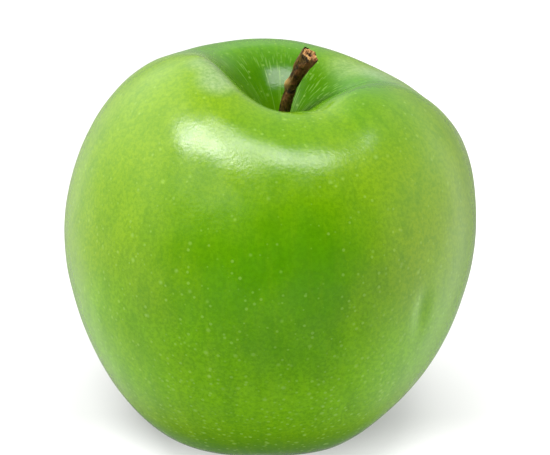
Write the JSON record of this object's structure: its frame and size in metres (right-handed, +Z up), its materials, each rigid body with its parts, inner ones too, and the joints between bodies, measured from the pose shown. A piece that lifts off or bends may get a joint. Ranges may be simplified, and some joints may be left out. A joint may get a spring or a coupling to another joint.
{
  "type": "green apple",
  "caption": "Whole green apple with a bent woody stem in its cavity and a dried calyx underneath, standing on its own base.",
  "frame": {"origin": "on the surface that the apple stands on, under the middle of its outline", "axes": "+Z up along the core, from the calyx to the stem; the stem bends towards +X; -Y is the side the picture shows"},
  "size_m": [0.0788, 0.0772, 0.0774],
  "materials": {
    "skin": "waxy, softly glossy green skin with pale lenticels",
    "bark": "dull dark brown bark",
    "sepal": "dull dry brown"
  },
  "bodies": {
    "root": {"fruit": "skin", "stem": "bark", "calyx": "sepal"}
  },
  "joints": []
}
